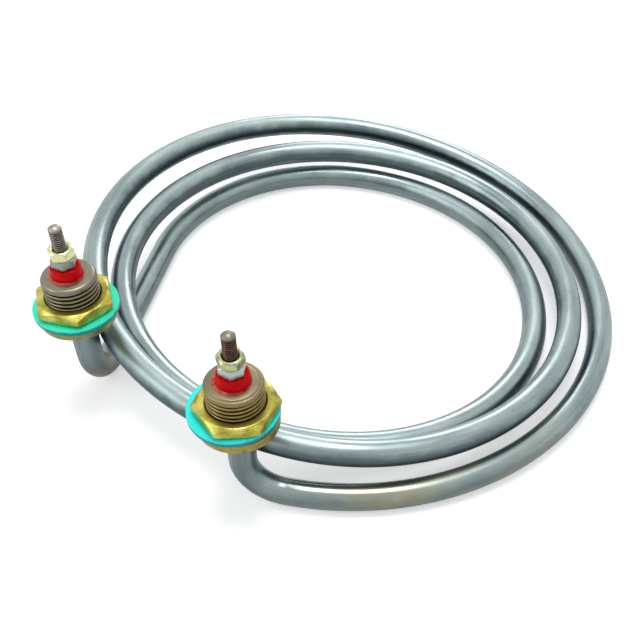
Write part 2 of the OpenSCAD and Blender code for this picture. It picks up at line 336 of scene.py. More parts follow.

# %% [markdown]
# ## The sheath, swept with Geometry Nodes
# Drawing the tube by hand would lose the roundness that its highlights show off, so a
# node tree sweeps a circle along the route. It also stores where on the tube each point
# lies: two numbers round the section and one along the length. The drawing marks of
# the metal follow that, not the room, as they do on a real drawn tube. Another number
# says how far each point faces up, so that the material can paint shade on the underside.

# %% Node tree that sweeps the tube
def tube_tree():
    """Geometry Nodes group: an edge path becomes a round tube with 'flow' in mm and 'upward'."""
    tree = bpy.data.node_groups.new("swept_tube", "GeometryNodeTree")
    for name, kind in (("Path", "Geometry"), ("Radius", "Float"), ("Ripple", "Float"),
                       ("Facets", "Int"), ("Metal", "Material")):
        tree.interface.new_socket(name, in_out="INPUT", socket_type="NodeSocket" + kind)
    tree.interface.new_socket("Tube", in_out="OUTPUT", socket_type="NodeSocketGeometry")
    given = node(tree, "NodeGroupInput").outputs
    curve = node(tree, "GeometryNodeMeshToCurve", {0: given["Path"]})
    along = node(tree, "GeometryNodeSplineParameter").outputs["Length"]
    curve = node(tree, "GeometryNodeStoreNamedAttribute", {
        "Geometry": curve, "Name": "along", "Value": along}, data_type="FLOAT", domain="POINT")
    ring = node(tree, "GeometryNodeCurvePrimitiveCircle", {
        "Resolution": given["Facets"], "Radius": given["Radius"]})
    place = node(tree, "GeometryNodeInputPosition")
    ring = node(tree, "GeometryNodeStoreNamedAttribute", {
        "Geometry": ring, "Name": "ring", "Value": place}, data_type="FLOAT_VECTOR", domain="POINT")
    swept = node(tree, "GeometryNodeCurveToMesh", {
        "Curve": curve, "Profile Curve": ring, "Fill Caps": True})

    # Where on the tube: the ring's own x and y, and the way along it, all in mm
    ring_at = node(tree, "GeometryNodeInputNamedAttribute", {"Name": "ring"},
                   data_type="FLOAT_VECTOR")
    along_at = node(tree, "GeometryNodeInputNamedAttribute", {"Name": "along"}, data_type="FLOAT")
    lengthwise = node(tree, "ShaderNodeCombineXYZ", {"Z": along_at})
    flow = node(tree, "ShaderNodeVectorMath", {0: ring_at, 1: lengthwise}, operation="ADD")
    flow = node(tree, "ShaderNodeVectorMath", {0: flow, "Scale": 1 / MM}, operation="SCALE")
    stored = node(tree, "GeometryNodeStoreNamedAttribute", {
        "Geometry": swept, "Name": "flow", "Value": flow}, data_type="FLOAT_VECTOR", domain="POINT")
    # How far each point faces up, which the material uses to paint shade on the underside
    normal = node(tree, "GeometryNodeInputNormal")
    facing = node(tree, "ShaderNodeSeparateXYZ", {0: normal}).outputs["Z"]
    stored = node(tree, "GeometryNodeStoreNamedAttribute", {
        "Geometry": stored, "Name": "upward", "Value": facing}, data_type="FLOAT", domain="POINT")

    # Drawn tube is not quite even: soft swells about 14 mm long
    wobble = node(tree, "ShaderNodeTexNoise", {"Vector": flow, "Scale": 0.07, "Detail": 1.5})
    height = node(tree, "ShaderNodeMath", {0: wobble, 1: 0.5}, operation="SUBTRACT")
    height = node(tree, "ShaderNodeMath", {0: height, 1: given["Ripple"]}, operation="MULTIPLY")
    offset = node(tree, "ShaderNodeVectorMath", {0: normal, "Scale": height}, operation="SCALE")
    moved = node(tree, "GeometryNodeSetPosition", {"Geometry": stored, "Offset": offset})
    smooth = node(tree, "GeometryNodeSetShadeSmooth", {0: moved})
    real = node(tree, "GeometryNodeRealizeInstances", {0: smooth})
    dressed = node(tree, "GeometryNodeSetMaterial", {"Geometry": real, "Material": given["Metal"]})
    node(tree, "NodeGroupOutput", {0: dressed})
    return tree


sweep = tube_tree()
print("node tree for the tube:", len(sweep.nodes), "nodes")

# %% A plain mesh out of modifiers
def plain_mesh(piece):
    """The mesh that comes out of a piece's modifiers, which are then removed."""
    graph = bpy.context.evaluated_depsgraph_get()
    mesh = bpy.data.meshes.new_from_object(
        piece.evaluated_get(graph), preserve_all_data_layers=True, depsgraph=graph)
    piece.modifiers.clear()
    return mesh


def grown(name, start_mesh, tree, inputs):
    """Runs a node tree on a mesh and returns its result as a plain mesh object."""
    host = placed(name + "_host", start_mesh)
    modifier = host.modifiers.new("grow", "NODES")
    modifier.node_group = tree
    sockets = {item.name: item.identifier for item in tree.interface.items_tree
               if item.in_out == "INPUT"}
    for key, value in inputs.items():
        modifier[sockets[key]] = value
    mesh = plain_mesh(host)
    bpy.data.objects.remove(host)
    mesh.name = name
    return placed(name, mesh)


print("mesh maker ready")

# %% [markdown]
# ### Drawn stainless steel
# The sheath is austenitic stainless tube, drawn through a die and then annealed. Drawing
# leaves fine lines along the tube, and annealing and handling leave a soft grey bloom with
# duller and brighter patches. The underside is darkened with painted shade, and firing
# tints the tube straw yellow where its hot length begins. Bare metal has no colour of its
# own under the bloom, so the base colour is a cool grey and the roughness carries the variation.

# %% Drawing lines, bloom and pits
def new_material(name, colour, roughness, metallic=1.0):
    """A material with one Principled shader, and its tree and shader to work on."""
    made = bpy.data.materials.new(name)
    made.use_nodes = True
    tree = made.node_tree
    shader = tree.nodes["Principled BSDF"]
    connect(tree, shader, {"Base Color": colour, "Roughness": roughness, "Metallic": metallic})
    return made, tree, shader


drawn_steel, tree, shader = new_material("drawn_stainless_steel", "#828e92", 0.3)
flow = node(tree, "ShaderNodeAttribute", attribute_name="flow").outputs["Vector"]
# The cells of a noise lie skew to the tube, or their walls would cross it as faint rings
SKEW = (0.6, 0.45, 0.3)
skewed = node(tree, "ShaderNodeMapping", {0: flow, "Rotation": SKEW})
# Drawing lines are a few hundredths of a millimetre wide; drawn ten times as coarse here
stretched = node(tree, "ShaderNodeMapping", {0: flow, "Rotation": SKEW, "Scale": (1, 1, 0.012)})
lines = node(tree, "ShaderNodeTexNoise", {"Vector": stretched, "Scale": 3.4, "Detail": 3})
streak = node(tree, "ShaderNodeValToRGB", {0: lines}, [
    (0.35, "#9aa1a4"), (0.5, "#ffffff"), (0.68, "#ffffff")])
# Bloom in patches of about 8 by 33 mm
patches = node(tree, "ShaderNodeMapping", {
    0: flow, "Rotation": SKEW, "Scale": (0.12, 0.12, 0.03)})
bloom = node(tree, "ShaderNodeTexNoise", {
    "Vector": patches, "Scale": 1.0, "Detail": 4, "Roughness": 0.6})
grey = node(tree, "ShaderNodeValToRGB", {0: bloom}, [
    (0.32, "#859395"), (0.52, "#99a8a8"), (0.7, "#a8b7b4")])
colour = node(tree, "ShaderNodeMix", {0: 0.25, 6: grey, 7: streak},
              data_type="RGBA", blend_type="MULTIPLY").outputs[2]
# Scattered pits, somewhat under a millimetre
spots = node(tree, "ShaderNodeTexNoise", {"Vector": skewed, "Scale": 1.1, "Detail": 1})
pits = node(tree, "ShaderNodeValToRGB", {0: spots}, [(0.74, 0.0), (0.8, 0.8)])
colour = node(tree, "ShaderNodeMix", {0: pits, 6: colour, 7: "#5d666a"}, data_type="RGBA").outputs[2]
print("bare sheath steel ready")

# %% Painted shade on the underside of the tube
# Painted shade lies on the underside, and its edge wanders: by 6 mm clouds and by 33 mm stretches
upward = node(tree, "ShaderNodeAttribute", attribute_name="upward").outputs["Fac"]
cloud = node(tree, "ShaderNodeTexNoise", {"Vector": skewed, "Scale": 0.16, "Detail": 5})
worn = node(tree, "ShaderNodeTexNoise", {"Vector": skewed, "Scale": 0.03, "Detail": 4})
edge = node(tree, "ShaderNodeMath", {0: cloud, 1: 0.5, 2: upward}, operation="MULTIPLY_ADD")
edge = node(tree, "ShaderNodeMath", {0: worn, 1: 0.6, 2: edge}, operation="MULTIPLY_ADD")
edge = node(tree, "ShaderNodeMath", {0: edge, 1: 0.5, 2: 0.1}, operation="MULTIPLY_ADD")
underside_shade = node(tree, "ShaderNodeValToRGB", {0: edge}, [
    (0.08, 0.3), (0.3, 0.9), (0.56, 0.72), (0.76, 0.0)])
# On the lowest turn the painted shade fades, as a painted reflection of the bright table beneath it
TABLE_REFLECTION_TO = 11 * MM
place = node(tree, "ShaderNodeTexCoord").outputs["Object"]
height = node(tree, "ShaderNodeSeparateXYZ", {0: place}).outputs["Z"]
table_reflection_fade = node(tree, "ShaderNodeMapRange", {
    0: height, 1: floor_z, 2: floor_z + TABLE_REFLECTION_TO, 3: 0.3, 4: 1.0})
underside_shade = node(tree, "ShaderNodeMath", {0: underside_shade, 1: table_reflection_fade}, operation="MULTIPLY")
# On the legs, which hold only the cold pins, the painted shade is half as strong
SHADE_HALF_TO, SHADE_FULL_FROM = 30, 70
along = node(tree, "ShaderNodeSeparateXYZ", {0: flow}).outputs["Z"]
from_left_end = node(tree, "ShaderNodeMath", {0: tube_length / MM, 1: along},
                     operation="SUBTRACT").outputs[0]
from_end = node(tree, "ShaderNodeMath", {0: along, 1: from_left_end}, operation="MINIMUM")
shade_by_end = node(tree, "ShaderNodeMapRange", {0: from_end, 1: SHADE_HALF_TO, 2: SHADE_FULL_FROM, 3: 0.5, 4: 1.0})
underside_shade = node(tree, "ShaderNodeMath", {0: underside_shade, 1: shade_by_end}, operation="MULTIPLY")
# Mixes in the painted shade, a dark blue-grey
colour = node(tree, "ShaderNodeMix", {0: underside_shade, 6: colour, 7: "#33434a"}, data_type="RGBA").outputs[2]
print("oxide ready, full from", SHADE_FULL_FROM, "mm along the tube")

# %% The straw tint, and how the steel shines
# The tint begins where the hot length begins; its stops are shares of a span from each end
TINT_SPAN = 200.0
blotch = node(tree, "ShaderNodeValToRGB", {0: bloom}, [(0.42, 0.1), (0.58, 1.0)])
for distance, stops in ((along, [(0.2, 0.0), (0.34, 0.6), (0.6, 0.4), (0.8, 0.0)]),
                        (from_left_end, [(0.17, 0.0), (0.23, 0.8), (0.27, 0.8), (0.34, 0.0)])):
    share = node(tree, "ShaderNodeMath", {0: distance, 1: TINT_SPAN}, operation="DIVIDE")
    band = node(tree, "ShaderNodeValToRGB", {0: share}, stops)
    tint = node(tree, "ShaderNodeMath", {0: band, 1: blotch}, operation="MULTIPLY")
    colour = node(tree, "ShaderNodeMix", {0: tint, 6: colour, 7: "#908357"},
                  data_type="RGBA").outputs[2]
dull = node(tree, "ShaderNodeValToRGB", {0: worn}, [(0.38, 0.22), (0.62, 0.42)])
bump = node(tree, "ShaderNodeBump", {"Strength": 0.08, "Distance": 0.02 * MM, "Height": lines})
connect(tree, shader, {"Base Color": colour, "Roughness": dull, "Normal": bump})
print("drawn steel:", len(tree.nodes), "nodes")

# %% The sheath itself
path_mesh = bpy.data.meshes.new("tube_route")
path_mesh.from_pydata(route, [(i, i + 1) for i in range(len(route) - 1)], [])
sheath = grown("sheath_tube", path_mesh, sweep, {
    "Radius": TUBE_D / 2 * MM, "Ripple": 0.08 * MM, "Facets": 40, "Metal": drawn_steel})
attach(sheath, "element")
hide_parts("heating_sheath")
print("sheath:", len(sheath.data.polygons), "faces")

# %% [markdown]
# ## Turned pieces with real threads
# Nipples, studs, bushes and gaskets all come off a lathe or out of a round mould, so one
# function spins an outline round an axis. A thread is not a stack of rings: it climbs one
# pitch per turn. The function therefore moves each point inwards by how deep the groove
# is at that point's own angle and height, and stores that depth, so that a material can
# paint shade in the groove.

# %% A smooth mesh, and how deep a thread is cut
def smooth_mesh(name, bm):
    """Turns finished bmesh faces outwards and makes a smooth mesh of them."""
    bmesh.ops.recalc_face_normals(bm, faces=bm.faces)
    mesh = bpy.data.meshes.new(name)
    bm.to_mesh(mesh)
    bm.free()
    mesh.shade_smooth()
    return mesh


def groove_depth(height, angle, thread):
    """From 0 on the crest to 1 at the bottom of a right-hand V groove, faded at both ends.

    thread has its pitch, depth, low and high end in mm, and the crest as a share of the pitch.
    """
    phase = (height / thread["pitch"] - angle / math.tau) % 1.0
    cut = max(0.0, 1 - abs(phase - 0.5) / (0.5 * (1 - thread["crest"])))
    into = (height - thread["low"]) / thread["pitch"]
    out_of = (thread["high"] - height) / (0.5 * thread["pitch"])
    return cut * max(0.0, min(1.0, into)) * max(0.0, min(1.0, out_of))


print("smooth mesh and thread groove ready")

# %% The lathe
SHARP_FROM = math.radians(38)


def lathe(name, outline, axis, segments, thread=None, start=0.0, uneven=None):
    """Spins (radius, height) points in mm round a vertical axis into a closed mesh object.

    uneven may move a point: it takes its radius, height and angle, and gives radius and height.
    """
    bm = bmesh.new()
    rings, depths = [], []
    for radius, height in outline:
        count = segments if radius > 0 else 1
        ring = []
        for i in range(count):
            a = math.tau * i / segments
            cut = groove_depth(height, a + start, thread) if thread else 0.0
            r = radius - (thread["depth"] * cut if thread else 0.0)
            z = height
            if uneven and radius > 0:
                r, z = uneven(r, z, a)
            ring.append(bm.verts.new(Vector((
                axis.x + r * math.cos(a), axis.y + r * math.sin(a), z)) * MM))
            depths.append(cut)
        rings.append(ring)
    pairs = list(zip(rings, rings[1:]))
    if len(rings[0]) > 1 and len(rings[-1]) > 1:
        pairs.append((rings[-1], rings[0]))
    for low, high in pairs:
        for i in range(segments):
            j = (i + 1) % segments
            corners = [low[i % len(low)], low[j % len(low)], high[j % len(high)], high[i % len(high)]]
            corners = list(dict.fromkeys(corners))
            if len(corners) > 2:
                bm.faces.new(corners)
    mesh = smooth_mesh(name, bm)
    stored = mesh.attributes.new("groove", "FLOAT", "POINT")
    stored.data.foreach_set("value", depths)
    mesh.set_sharp_from_angle(angle=SHARP_FROM)
    return placed(name, mesh)


print("lathe ready")

# %% Parts of outlines, and dressing a body
def climb(radius, low, high, step):
    """Points up a straight wall, close enough together to carry a thread."""
    count = max(1, round((high - low) / step))
    return [(radius, low + (high - low) * i / count) for i in range(count + 1)]


def quarter(radius, height, edge, count):
    """Points round an outer top corner."""
    return [(radius - edge + edge * math.cos(math.pi / 2 * i / count),
             height - edge + edge * math.sin(math.pi / 2 * i / count)) for i in range(count + 1)]


def dress(piece, body, node_name, material):
    """Makes a piece ride on a body, stand for a CAD node and take its material."""
    piece.data.materials.clear()
    piece.data.materials.append(material)
    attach(piece, body)
    if node_name:
        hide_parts(node_name)


print("outline parts ready")

# %% [markdown]
# ## Brass of the fittings
# Nipple and flange are turned from one brass bar. New brass is yellow, and this one has
# been stored for years: the right nipple has gone brown and the left one grey, while the
# flange, which sat under rubber, kept more of its yellow. The bottom of the thread is
# darkened with painted shade. So the colour follows height and groove depth.

# %% Material of the fittings
def in_mm(tree, centre):
    """Object coordinates in mm, measured from a point of the piece."""
    place = node(tree, "ShaderNodeTexCoord").outputs["Object"]
    moved = node(tree, "ShaderNodeVectorMath", {0: place, 1: Vector(centre) * MM},
                 operation="SUBTRACT")
    return node(tree, "ShaderNodeVectorMath", {0: moved, 1: [1 / MM] * 3}, operation="MULTIPLY")


def tarnished_brass(name, axis, bright, dull, face, groove_shade):
    """Turned brass: bright flange, dull nipple, its own tint on the top face, painted shade in the
    grooves.
    """
    made, tree, shader = new_material(name, dull, 0.34)
    place = in_mm(tree, (axis.x, axis.y, 0))
    height = node(tree, "ShaderNodeSeparateXYZ", {0: place}).outputs["Z"]
    # Stains about 3 mm across leave some brass bright on the nipple and some dull on the flange
    stain = node(tree, "ShaderNodeTexNoise", {
        "Vector": place, "Scale": 0.35, "Detail": 5, "Roughness": 0.65})
    dulled = node(tree, "ShaderNodeValToRGB", {0: stain}, [(0.42, 0.0), (0.62, 1.0)])
    lower = node(tree, "ShaderNodeMix", {0: dulled, 6: bright, 7: dull}, data_type="RGBA").outputs[2]
    rubbed = node(tree, "ShaderNodeValToRGB", {0: stain}, [(0.45, 0.0), (0.7, 0.6)])
    upper = node(tree, "ShaderNodeMix", {0: rubbed, 6: dull, 7: bright}, data_type="RGBA").outputs[2]
    level = node(tree, "ShaderNodeMapRange", {0: height, 1: -0.3, 2: 1.2})
    colour = node(tree, "ShaderNodeMix", {0: level, 6: lower, 7: upper}, data_type="RGBA").outputs[2]
    top = node(tree, "ShaderNodeMapRange", {0: height, 1: NIPPLE_TOP - 1.0, 2: NIPPLE_TOP - 0.2})
    colour = node(tree, "ShaderNodeMix", {0: top, 6: colour, 7: face}, data_type="RGBA").outputs[2]
    groove = node(tree, "ShaderNodeAttribute", attribute_name="groove").outputs["Fac"]
    # Painted shade at the bottom of the thread, which is also made rougher
    dirt_and_groove_shade = node(tree, "ShaderNodeValToRGB", {0: groove}, [(0.14, 0.0), (0.48, 1.0)])
    colour = node(tree, "ShaderNodeMix", {0: dirt_and_groove_shade, 6: colour, 7: groove_shade}, data_type="RGBA").outputs[2]
    rough = node(tree, "ShaderNodeMapRange", {0: stain, 1: 0.3, 2: 0.7, 3: 0.26, 4: 0.46})
    rough = node(tree, "ShaderNodeMath", {0: rough, 1: dirt_and_groove_shade}, operation="MAXIMUM")
    # Turning marks lie about 0.15 mm apart; drawn four times as coarse here
    rings = node(tree, "ShaderNodeTexWave", {"Vector": place, "Scale": 0.5, "Distortion": 0.6},
                 wave_type="RINGS", rings_direction="Z").outputs["Fac"]
    bump = node(tree, "ShaderNodeBump", {"Strength": 0.10, "Distance": 0.03 * MM, "Height": rings})
    connect(tree, shader, {"Base Color": colour, "Roughness": rough, "Normal": bump})
    return made


# The last colour of each is the painted shade in the thread grooves
brown_brass = tarnished_brass("tarnished_brass_right", right_axis, "#a39240", "#877651",
                              "#837860", "#0e0a05")
grey_brass = tarnished_brass("tarnished_brass_left", left_axis, "#958a44", "#7b776a",
                             "#848170", "#0c0b09")
print("fitting brass ready")

# %% [markdown]
# ### The two fittings
# The thread stops below a plain land, and the top corner is rounded so that the nut
# starts without cutting. The right top face has a small turned step and the left one a
# wider round, because the two were not cut with the same tool.

# %% Fittings
SEAT_GAP = 0.03
BORE_R = TUBE_D / 2 + SEAT_GAP
NIPPLE_R = 8.35
FLANGE_R = 12.0
FLANGE_EDGE = 0.35
NIPPLE_THREAD = {"pitch": 1.5, "depth": 0.72, "crest": 0.3, "low": 0.6, "high": NIPPLE_TOP - 1.5}


def fitting(name, axis, crown, start):
    """Flange, threaded nipple and a crown of (radius, height) points that ends its top."""
    outline = [(BORE_R, FLANGE_BOTTOM), (FLANGE_R - FLANGE_EDGE, FLANGE_BOTTOM),
               (FLANGE_R, FLANGE_BOTTOM + FLANGE_EDGE), (FLANGE_R, -0.2), (FLANGE_R - 0.2, 0)]
    outline += climb(NIPPLE_R, 0, NIPPLE_THREAD["high"], NIPPLE_THREAD["pitch"] / 14) + crown
    outline += [(BORE_R, NIPPLE_TOP)]
    return lathe(name, outline, axis, 128, NIPPLE_THREAD, start)


stepped = ([(NIPPLE_R, NIPPLE_TOP - 1.2)] + quarter(NIPPLE_R, NIPPLE_TOP - 0.22, 0.75, 6)
           + [(NIPPLE_R - 1.1, NIPPLE_TOP - 0.22), (NIPPLE_R - 1.25, NIPPLE_TOP - 0.06),
              (NIPPLE_R - 1.4, NIPPLE_TOP)])
rounded = ([(NIPPLE_R, NIPPLE_TOP - 1.45)] + quarter(NIPPLE_R, NIPPLE_TOP - 0.1, 1.25, 8)
           + [(NIPPLE_R - 1.45, NIPPLE_TOP - 0.08), (NIPPLE_R - 1.7, NIPPLE_TOP)])
for side, axis, crown, start, brass in (("right", right_axis, stepped, 2.0, brown_brass),
                                        ("left", left_axis, rounded, 0.7, grey_brass)):
    piece = fitting(side + "_turned_fitting", axis, crown, start)
    dress(piece, "element", side + "_fitting", brass)
    print(side, "fitting:", len(piece.data.polygons), "faces")

# %% [markdown]
# ## Nuts
# A hexagon nut is a six-sided bar with a cone turned on each face, and where the cone
# meets the flats it leaves the six arcs that make a nut look like one. Written as a lathe
# whose radius changes with the angle, the arcs come out by themselves. Pressed and plated
# corners are never razor sharp, so every edge gets a bevel of one or two tenths of a
# millimetre, and weighted normals keep the flats flat.

# %% Nut maker
CONE_SLOPE = math.tan(math.radians(30))
SIXTH = math.pi / 3  # the angle that one flat spans
NUT_COLUMNS = 120
BEVEL_FROM = math.radians(20)
FLAT_WEIGHT = 80


def hexagon_nut(name, node_name, sizes, corner_angle):
    """A nut in the box of its CAD node. Sizes in mm, corner_angle in degrees."""
    flats, hole_r, sink_r, cone_inset, edge = sizes
    low, high = (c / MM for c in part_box(node_name))
    axis, thick, turned_r = (low + high) / 2, high.z - low.z, flats / 2 - cone_inset
    sink = sink_r - hole_r
    bm = bmesh.new()
    columns = []
    for i in range(NUT_COLUMNS):
        a = math.tau * i / NUT_COLUMNS
        r = flats / 2 / math.cos((a % SIXTH) - SIXTH / 2)
        drop = (r - turned_r) * CONE_SLOPE
        outline = [(hole_r, sink), (sink_r, 0), (turned_r, 0), (r, drop),
                   (r, thick - drop), (turned_r, thick), (sink_r, thick), (hole_r, thick - sink)]
        turn_by = a + math.radians(corner_angle)
        columns.append([bm.verts.new(Vector((
            axis.x + x * math.cos(turn_by), axis.y + x * math.sin(turn_by), low.z + z)) * MM)
            for x, z in outline])
    for here, after in zip(columns, columns[1:] + columns[:1]):
        for k in range(len(here)):
            n = (k + 1) % len(here)
            bm.faces.new([here[k], after[k], after[n], here[n]])
    made = placed(name, smooth_mesh(name, bm))
    bevel = made.modifiers.new("soft_edges", "BEVEL")
    bevel.width = edge * MM
    bevel.segments = 2
    bevel.limit_method = "ANGLE"
    bevel.angle_limit = BEVEL_FROM
    weighted = made.modifiers.new("flat_flats", "WEIGHTED_NORMAL")
    weighted.weight = FLAT_WEIGHT
    made.data = plain_mesh(made)
    return made


print("nut maker ready")

# %% [markdown]
# ### Brass and zinc plate
# The clamp nuts are plain turned brass, yellow with an olive cast, brighter on the turned
# cone than on the flats. The small nuts are steel with a thin coat of zinc. A yellow
# chromate dip protects zinc and leaves a patchy straw or greenish film, and where it has
# worn off the bare zinc is bluish white.

# %% Brass of the clamp nuts
def turned_brass(name, axis):
    """Olive yellow brass with dull stains, dark flecks and turning marks."""
    made, tree, shader = new_material(name, "#aea23e", 0.3)
    place = in_mm(tree, (axis.x, axis.y, 0))
    # Stains about 5 mm across, flecks well under a millimetre
    stain = node(tree, "ShaderNodeTexNoise", {
        "Vector": place, "Scale": 0.22, "Detail": 6, "Roughness": 0.6})
    colour = node(tree, "ShaderNodeValToRGB", {0: stain}, [
        (0.32, "#847a38"), (0.5, "#b1a94b"), (0.68, "#d8d075")])
    fleck = node(tree, "ShaderNodeTexNoise", {"Vector": place, "Scale": 1.6, "Detail": 2})
    dark = node(tree, "ShaderNodeValToRGB", {0: fleck}, [(0.62, 0.0), (0.75, 0.7)])
    colour = node(tree, "ShaderNodeMix", {0: dark, 6: colour, 7: "#6d5c28"},
                  data_type="RGBA").outputs[2]
    rough = node(tree, "ShaderNodeMapRange", {0: stain, 1: 0.3, 2: 0.7, 3: 0.45, 4: 0.28})
    # Turning marks lie about 0.15 mm apart; drawn three to four times as coarse here
    rings = node(tree, "ShaderNodeTexWave", {"Vector": place, "Scale": 0.6, "Distortion": 0.8},
                 wave_type="RINGS", rings_direction="Z").outputs["Fac"]
    bump = node(tree, "ShaderNodeBump", {"Strength": 0.12, "Distance": 0.03 * MM, "Height": rings})
    connect(tree, shader, {"Base Color": colour, "Roughness": rough, "Normal": bump})
    return made


right_clamp_brass = turned_brass("turned_brass_right", right_axis)
left_clamp_brass = turned_brass("turned_brass_left", left_axis)
print("clamp nut brass ready")

# %% Zinc of the small nuts
def zinc_plate(name, axis, bare, film, amount):
    """Zinc with a chromate film over a share of it."""
    made, tree, shader = new_material(name, bare, 0.24)
    place = in_mm(tree, (axis.x, axis.y, 0))
    # The film lies in patches of about 2 mm, and specks of dirt are under half a millimetre
    patch = node(tree, "ShaderNodeTexNoise", {
        "Vector": place, "Scale": 0.55, "Detail": 4, "Roughness": 0.6})
    covered = node(tree, "ShaderNodeValToRGB", {0: patch}, [
        (0.62 - 0.4 * amount, 0.0), (0.78 - 0.4 * amount, 1.0)])
    colour = node(tree, "ShaderNodeMix", {0: covered, 6: bare, 7: film}, data_type="RGBA").outputs[2]
    speck = node(tree, "ShaderNodeTexNoise", {"Vector": place, "Scale": 2.4, "Detail": 2})
    dirt_and_groove_shade = node(tree, "ShaderNodeValToRGB", {0: speck}, [(0.66, 0.0), (0.74, 0.5)])
    colour = node(tree, "ShaderNodeMix", {0: dirt_and_groove_shade, 6: colour, 7: "#5c564a"},
                  data_type="RGBA").outputs[2]
    rough = node(tree, "ShaderNodeMapRange", {0: patch, 1: 0.3, 2: 0.7, 3: 0.18, 4: 0.36})
    connect(tree, shader, {"Base Color": colour, "Roughness": rough})
    return made


right_lower_zinc = zinc_plate("bare_zinc_plate_right", right_axis, "#a9babb", "#bccab2", 0.2)
right_upper_zinc = zinc_plate("yellow_zinc_plate_right", right_axis, "#959b90", "#c3c68a", 0.6)
left_lower_zinc = zinc_plate("bare_zinc_plate_left", left_axis, "#8f9592", "#a2a892", 0.3)
left_upper_zinc = zinc_plate("yellow_zinc_plate_left", left_axis, "#bdc29a", "#dcdda8", 0.8)
print("4 zinc finishes ready")

# %% The six nuts
# Across flats, radius of hole and of countersink, inset of the cone, edge, all in mm
CLAMP_SIZES = (22, 8.41, 8.75, 0.525, 0.18)
M4_SIZES = (7, 2.06, 2.65, 0.35, 0.12)
for name, body, sizes, corner, metal, slot in (
        ("right_clamp_nut", "right_clamp_nut", CLAMP_SIZES, 45, right_clamp_brass, "clamp_brass"),
        ("left_clamp_nut", "left_clamp_nut", CLAMP_SIZES, 25, left_clamp_brass, "clamp_brass"),
        ("right_lower_nut", "element", M4_SIZES, 7, right_lower_zinc, "right_lower_nut_zinc"),
        ("right_upper_nut", "right_upper_nut", M4_SIZES, 37, right_upper_zinc, "right_upper_nut_zinc"),
        ("left_lower_nut", "element", M4_SIZES, 12, left_lower_zinc, "left_lower_nut_zinc"),
        ("left_upper_nut", "left_upper_nut", M4_SIZES, 40, left_upper_zinc, "left_upper_nut_zinc")):
    dress(hexagon_nut(name + "_bevelled", name, sizes, corner), body, name, metal)
print("6 nuts")

# %% [markdown]
# ## Gaskets
# A flat ring of silicone rubber lies between flange and wall. It is moulded, so its edge
# is soft, and it never lies quite flat once it has been squeezed. The colour runs through
# and through; the side is darkened with painted shade, so the upper face and rim stand brighter.

# %% Rubber of the gaskets
def moulded_rubber(name, axis, lit_top_colour, shaded_side_colour):
    """Silicone rubber, bright above, its side darkened by painted shade."""
    made, tree, shader = new_material(name, lit_top_colour, 0.4, 0.0)
    place = in_mm(tree, (axis.x, axis.y, 0))
    height = node(tree, "ShaderNodeSeparateXYZ", {0: place}).outputs["Z"]
    # The edge of the painted shade on the side wanders in waves of about 2 mm
    mottle = node(tree, "ShaderNodeTexNoise", {"Vector": place, "Scale": 0.5, "Detail": 4})
    level = node(tree, "ShaderNodeMath", {0: height, 1: mottle}, operation="ADD")
    # Painted shade: the side takes the darker colour, the upper face and rim the lit one
    rim = node(tree, "ShaderNodeMapRange", {0: level, 1: 1.7, 2: 2.2})
    colour = node(tree, "ShaderNodeMix", {0: rim, 6: shaded_side_colour, 7: lit_top_colour},
                  data_type="RGBA").outputs[2]
    # Skin of the mould, in grains of about 0.4 mm
    grain = node(tree, "ShaderNodeTexNoise", {"Vector": place, "Scale": 2.5, "Detail": 3})
    bump = node(tree, "ShaderNodeBump", {"Strength": 0.15, "Distance": 0.05 * MM, "Height": grain})
    connect(tree, shader, {"Base Color": colour, "Specular IOR Level": 0.3, "Normal": bump})
    return made


# The second colour of each is the side in painted shade
right_rubber = moulded_rubber("silicone_rubber_cyan", right_axis, "#2af8f6", "#108f96")
left_rubber = moulded_rubber("silicone_rubber_turquoise", left_axis, "#38f4d0", "#159484")
print("gasket rubber ready")

# %% Gaskets
GASKET_PLAY = 1.7
GASKET_EDGE = 0.35


def gasket(name, node_name, seed):
    """A flat ring with soft edges that swells and lifts a little round its rim."""
    low, high = (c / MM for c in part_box(node_name))
    outer, thick = (high.x - low.x) / 2, high.z - low.z
    inner = NIPPLE_R + GASKET_PLAY

    def uneven(r, z, a):
        swell = noise.noise(Vector((math.cos(a) * 1.6, math.sin(a) * 1.6, seed)))
        lift = noise.noise(Vector((math.cos(a) * 1.1, math.sin(a) * 1.1, seed + 7)))
        share = (r - inner) / (outer - inner)
        return r + 0.18 * swell * share, z + 0.05 * lift * share * (1 if z > thick / 2 else 0)

    top = quarter(outer, thick, GASKET_EDGE, 4)
    bottom = [(r, thick - z) for r, z in reversed(top)]
    outline = ([(inner, 0.15), (inner + 0.15, 0)] + bottom + top
               + [(inner + 0.15, thick), (inner, thick - 0.15)])
    return lathe(name, outline, (low + high) / 2, 96, uneven=uneven)


for side, seed, rubber in (("right", 3.1, right_rubber), ("left", 9.4, left_rubber)):
    name = side + "_gasket"
    dress(gasket(name + "_moulded", name, seed), name, name, rubber)
print("2 gaskets")

# %% [markdown]
# ## Insulating bushes and the sealant round them
# A red silicone bush keeps the live stud clear of the earthed nipple. It is pressed onto
# the stud over a dab of sealant, which squeezes out as a ragged orange-red skirt. The bush
# comes straight from a polished mould, so its highlights are small and crisp, but silicone
# reflects little, and they stay faint.

# %% Silicone and sealant
red_silicone, tree, shader = new_material("red_silicone_rubber", "#c00412", 0.2, 0.0)
place = in_mm(tree, (0, 0, 0))
